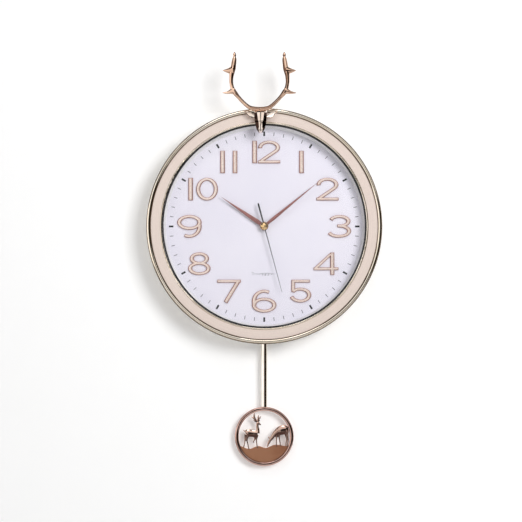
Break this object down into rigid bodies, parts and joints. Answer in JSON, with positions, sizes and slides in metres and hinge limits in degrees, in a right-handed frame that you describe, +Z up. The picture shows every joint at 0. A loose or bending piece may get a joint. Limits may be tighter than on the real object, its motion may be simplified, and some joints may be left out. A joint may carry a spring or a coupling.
{
  "type": "pendulum wall clock",
  "caption": "round quartz wall clock with a stag head and antlers over the bezel, raised numerals, and a swinging pendulum whose ring bob frames two deer",
  "frame": {"origin": "where the axis of the hands meets the wall, on the rear face of the back cover", "axes": "+X to the right seen from the front, -Y out of the wall towards the viewer, +Z up"},
  "size_m": [0.358, 0.0585, 0.6279],
  "materials": {
    "champagne_plate": "polished champagne-gold plate",
    "matt_champagne": "matt champagne paint with a fine grain",
    "clear_glass": "clear polished",
    "black_rubber": "matt",
    "white_plastic": "satin",
    "dial_white": "satin lavender white",
    "black_plastic": "moulded, lightly textured",
    "zinc_steel": "zinc plated",
    "rose_gold": "polished rose-gold plate",
    "numeral_gold": "polished rose-gold plate",
    "green_board": "solder mask",
    "ivory_plastic": "moulded acetal",
    "copper_wire": "enamelled copper wire",
    "silicon_steel": "bare steel",
    "battery_jacket": "plain printed sleeve",
    "nickel_strip": "nickel plated",
    "brass_metal": "turned",
    "rose_hand": "dusty rose metallic",
    "black_hand": "satin black",
    "matt_copper": "matt copper brown"
  },
  "bodies": {
    "case": {"antler_left": "rose_gold", "antler_right": "rose_gold", "back_cover": "black_plastic", "battery": "battery_jacket", "battery_contacts": "nickel_strip", "bezel_band": "matt_champagne", "case_drum": "champagne_plate", "circuit_board": "green_board", "coil_bobbin": "ivory_plastic", "coil_winding": "copper_wire", "cover_screws": "zinc_steel", "deer_head": "rose_gold", "dial_plate": "dial_white", "dial_spacer": "white_plastic", "drive_coil": "copper_wire", "front_rim": "champagne_plate", "glass_lens": "clear_glass", "hanger_plate": "zinc_steel", "head_screws": "zinc_steel", "inner_rim": "champagne_plate", "lens_gasket": "black_rubber", "movement_case": "black_plastic", "movement_cover": "black_plastic", "numeral_01": "numeral_gold", "numeral_02": "numeral_gold", "numeral_03": "numeral_gold", "numeral_04": "numeral_gold", "numeral_05": "numeral_gold", "numeral_06": "numeral_gold", "numeral_07": "numeral_gold", "numeral_08": "numeral_gold", "numeral_09": "numeral_gold", "numeral_10": "numeral_gold", "numeral_11": "numeral_gold", "numeral_12": "numeral_gold", "quartz_crystal": "zinc_steel", "shaft_nut": "brass_metal", "stator": "silicon_steel"},
    "seconds_train": {"seconds_wheel": "ivory_plastic", "second_hand": "black_hand", "hand_cap": "rose_gold"},
    "rotor_arbor": {"rotor": "ivory_plastic"},
    "step_arbor": {"step_wheel": "ivory_plastic"},
    "third_arbor": {"third_wheel": "ivory_plastic"},
    "centre_arbor": {"centre_wheel": "ivory_plastic"},
    "minute_pipe": {"cannon_pinion": "brass_metal", "minute_hand": "rose_hand"},
    "motion_arbor": {"motion_wheel": "ivory_plastic", "set_knob": "black_plastic"},
    "hour_pipe": {"hour_wheel": "ivory_plastic", "hour_hand": "rose_hand"},
    "pendulum": {"swing_lever": "ivory_plastic", "swing_magnet": "silicon_steel", "rod_cap": "rose_gold", "rod_tube": "rose_gold", "rod_ferrule": "rose_gold", "bob_ring": "rose_gold", "bob_ground": "matt_copper", "bob_stag": "rose_gold", "bob_doe": "rose_gold"}
  },
  "joints": [
    {"name": "second_hand_turn", "type": "hinge", "parent": "case", "child": "seconds_train", "pos_m": [0, -0.012, 0], "axis": [0, 1, 0], "continuous": true},
    {"name": "minute_hand_turn", "type": "hinge", "parent": "case", "child": "minute_pipe", "pos_m": [0, -0.012, 0], "axis": [0, 1, 0], "continuous": true},
    {"name": "pendulum_swing", "type": "hinge", "parent": "case", "child": "pendulum", "pos_m": [0, -0.01, -0.0535], "axis": [0, 1, 0], "range_deg": [-8, 8]},
    {"name": "rotor_spin", "type": "hinge", "parent": "case", "child": "rotor_arbor", "pos_m": [-0.01447, -0.012, 0.01808], "axis": [0, 1, 0], "continuous": true},
    {"name": "step_wheel_spin", "type": "hinge", "parent": "case", "child": "step_arbor", "pos_m": [-0.01256, -0.012, 0.00725], "axis": [0, 1, 0], "continuous": true},
    {"name": "third_wheel_spin", "type": "hinge", "parent": "case", "child": "third_arbor", "pos_m": [0.01212, -0.012, 0.007], "axis": [0, 1, 0], "continuous": true},
    {"name": "centre_wheel_spin", "type": "hinge", "parent": "case", "child": "centre_arbor", "pos_m": [0, -0.012, 0], "axis": [0, 1, 0], "continuous": true},
    {"name": "motion_wheel_spin", "type": "hinge", "parent": "case", "child": "motion_arbor", "pos_m": [0, -0.012, -0.015], "axis": [0, 1, 0], "continuous": true},
    {"name": "hour_hand_turn", "type": "hinge", "parent": "case", "child": "hour_pipe", "pos_m": [0, -0.012, 0], "axis": [0, 1, 0], "continuous": true}
  ],
  "couplings": [
    {"joint": "step_wheel_spin", "follows": "second_hand_turn", "ratio": -5},
    {"joint": "rotor_spin", "follows": "second_hand_turn", "ratio": 30},
    {"joint": "third_wheel_spin", "follows": "second_hand_turn", "ratio": -0.13333},
    {"joint": "centre_wheel_spin", "follows": "second_hand_turn", "ratio": 0.016667},
    {"joint": "motion_wheel_spin", "follows": "minute_hand_turn", "ratio": -0.33333},
    {"joint": "hour_hand_turn", "follows": "minute_hand_turn", "ratio": 0.083333}
  ]
}
